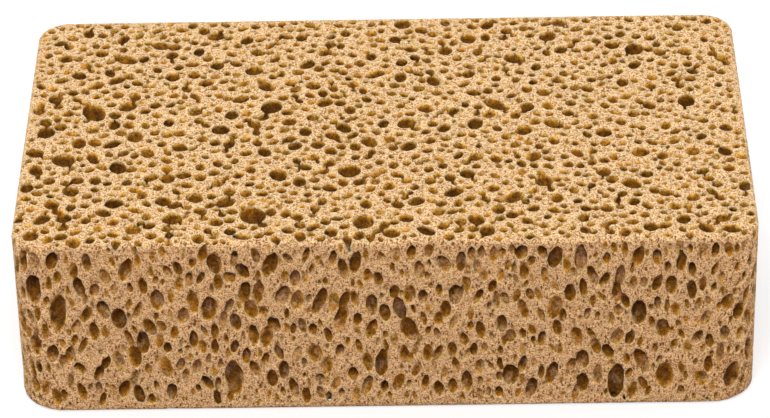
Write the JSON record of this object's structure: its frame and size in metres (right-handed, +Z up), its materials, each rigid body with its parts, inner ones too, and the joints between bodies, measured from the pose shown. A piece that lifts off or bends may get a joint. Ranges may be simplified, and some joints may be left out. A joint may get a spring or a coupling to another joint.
{
  "type": "cleaning sponge",
  "caption": "Rectangular block of open-celled foam with rounded upright corners, used wet for washing and wiping.",
  "frame": {"origin": "centre of the underside, on the surface that the sponge lies on", "axes": "+X along the length, +Y from the front to the back, +Z up through the thickness, the way the foam rose"},
  "size_m": [0.2, 0.12, 0.054],
  "materials": {
    "foam": "dry amber foam, matte, with open cells"
  },
  "bodies": {
    "root": {"sponge_block": "foam"}
  },
  "joints": []
}
